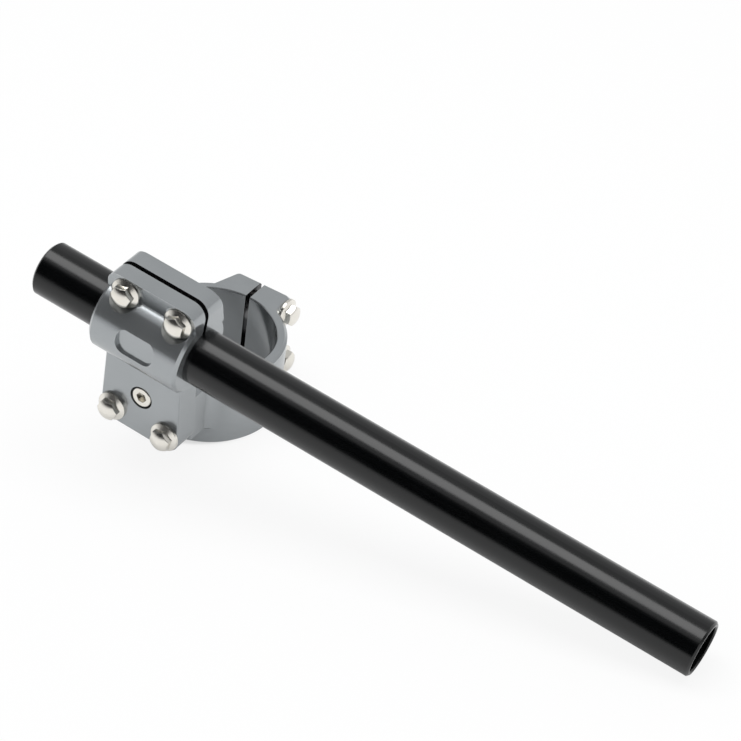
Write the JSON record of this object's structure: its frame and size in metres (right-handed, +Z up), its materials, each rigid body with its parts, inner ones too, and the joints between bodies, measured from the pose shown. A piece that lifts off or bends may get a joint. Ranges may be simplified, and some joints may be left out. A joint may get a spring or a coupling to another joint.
{
  "type": "clip-on handlebar",
  "caption": "Motorcycle clip-on handlebar: a split ring clamps a fork tube, and a bolted riser with a split barrel holds a straight drooping tube for the grip.",
  "frame": {"origin": "centre of the fork clamp's bore, half way up the ring", "axes": "+Z up along the fork tube, -Y to the bolted front of the riser, +X to the long end of the bar"},
  "size_m": [0.2887, 0.1028, 0.0911],
  "materials": {
    "grey_anodised": "machined and grey anodised, satin",
    "black_tube": "black anodised, satin",
    "bolt_steel": "plain steel, semi-bright"
  },
  "bodies": {
    "root": {"fork_clamp": "grey_anodised", "bar_riser": "grey_anodised", "handlebar": "black_tube", "bar_pinch_bolt_inner": "bolt_steel", "bar_pinch_bolt_outer": "bolt_steel", "riser_bolt_inner": "bolt_steel", "riser_bolt_outer": "bolt_steel", "fork_pinch_bolt_lower": "bolt_steel", "fork_pinch_bolt_upper": "bolt_steel", "locating_screw": "bolt_steel"}
  },
  "joints": []
}
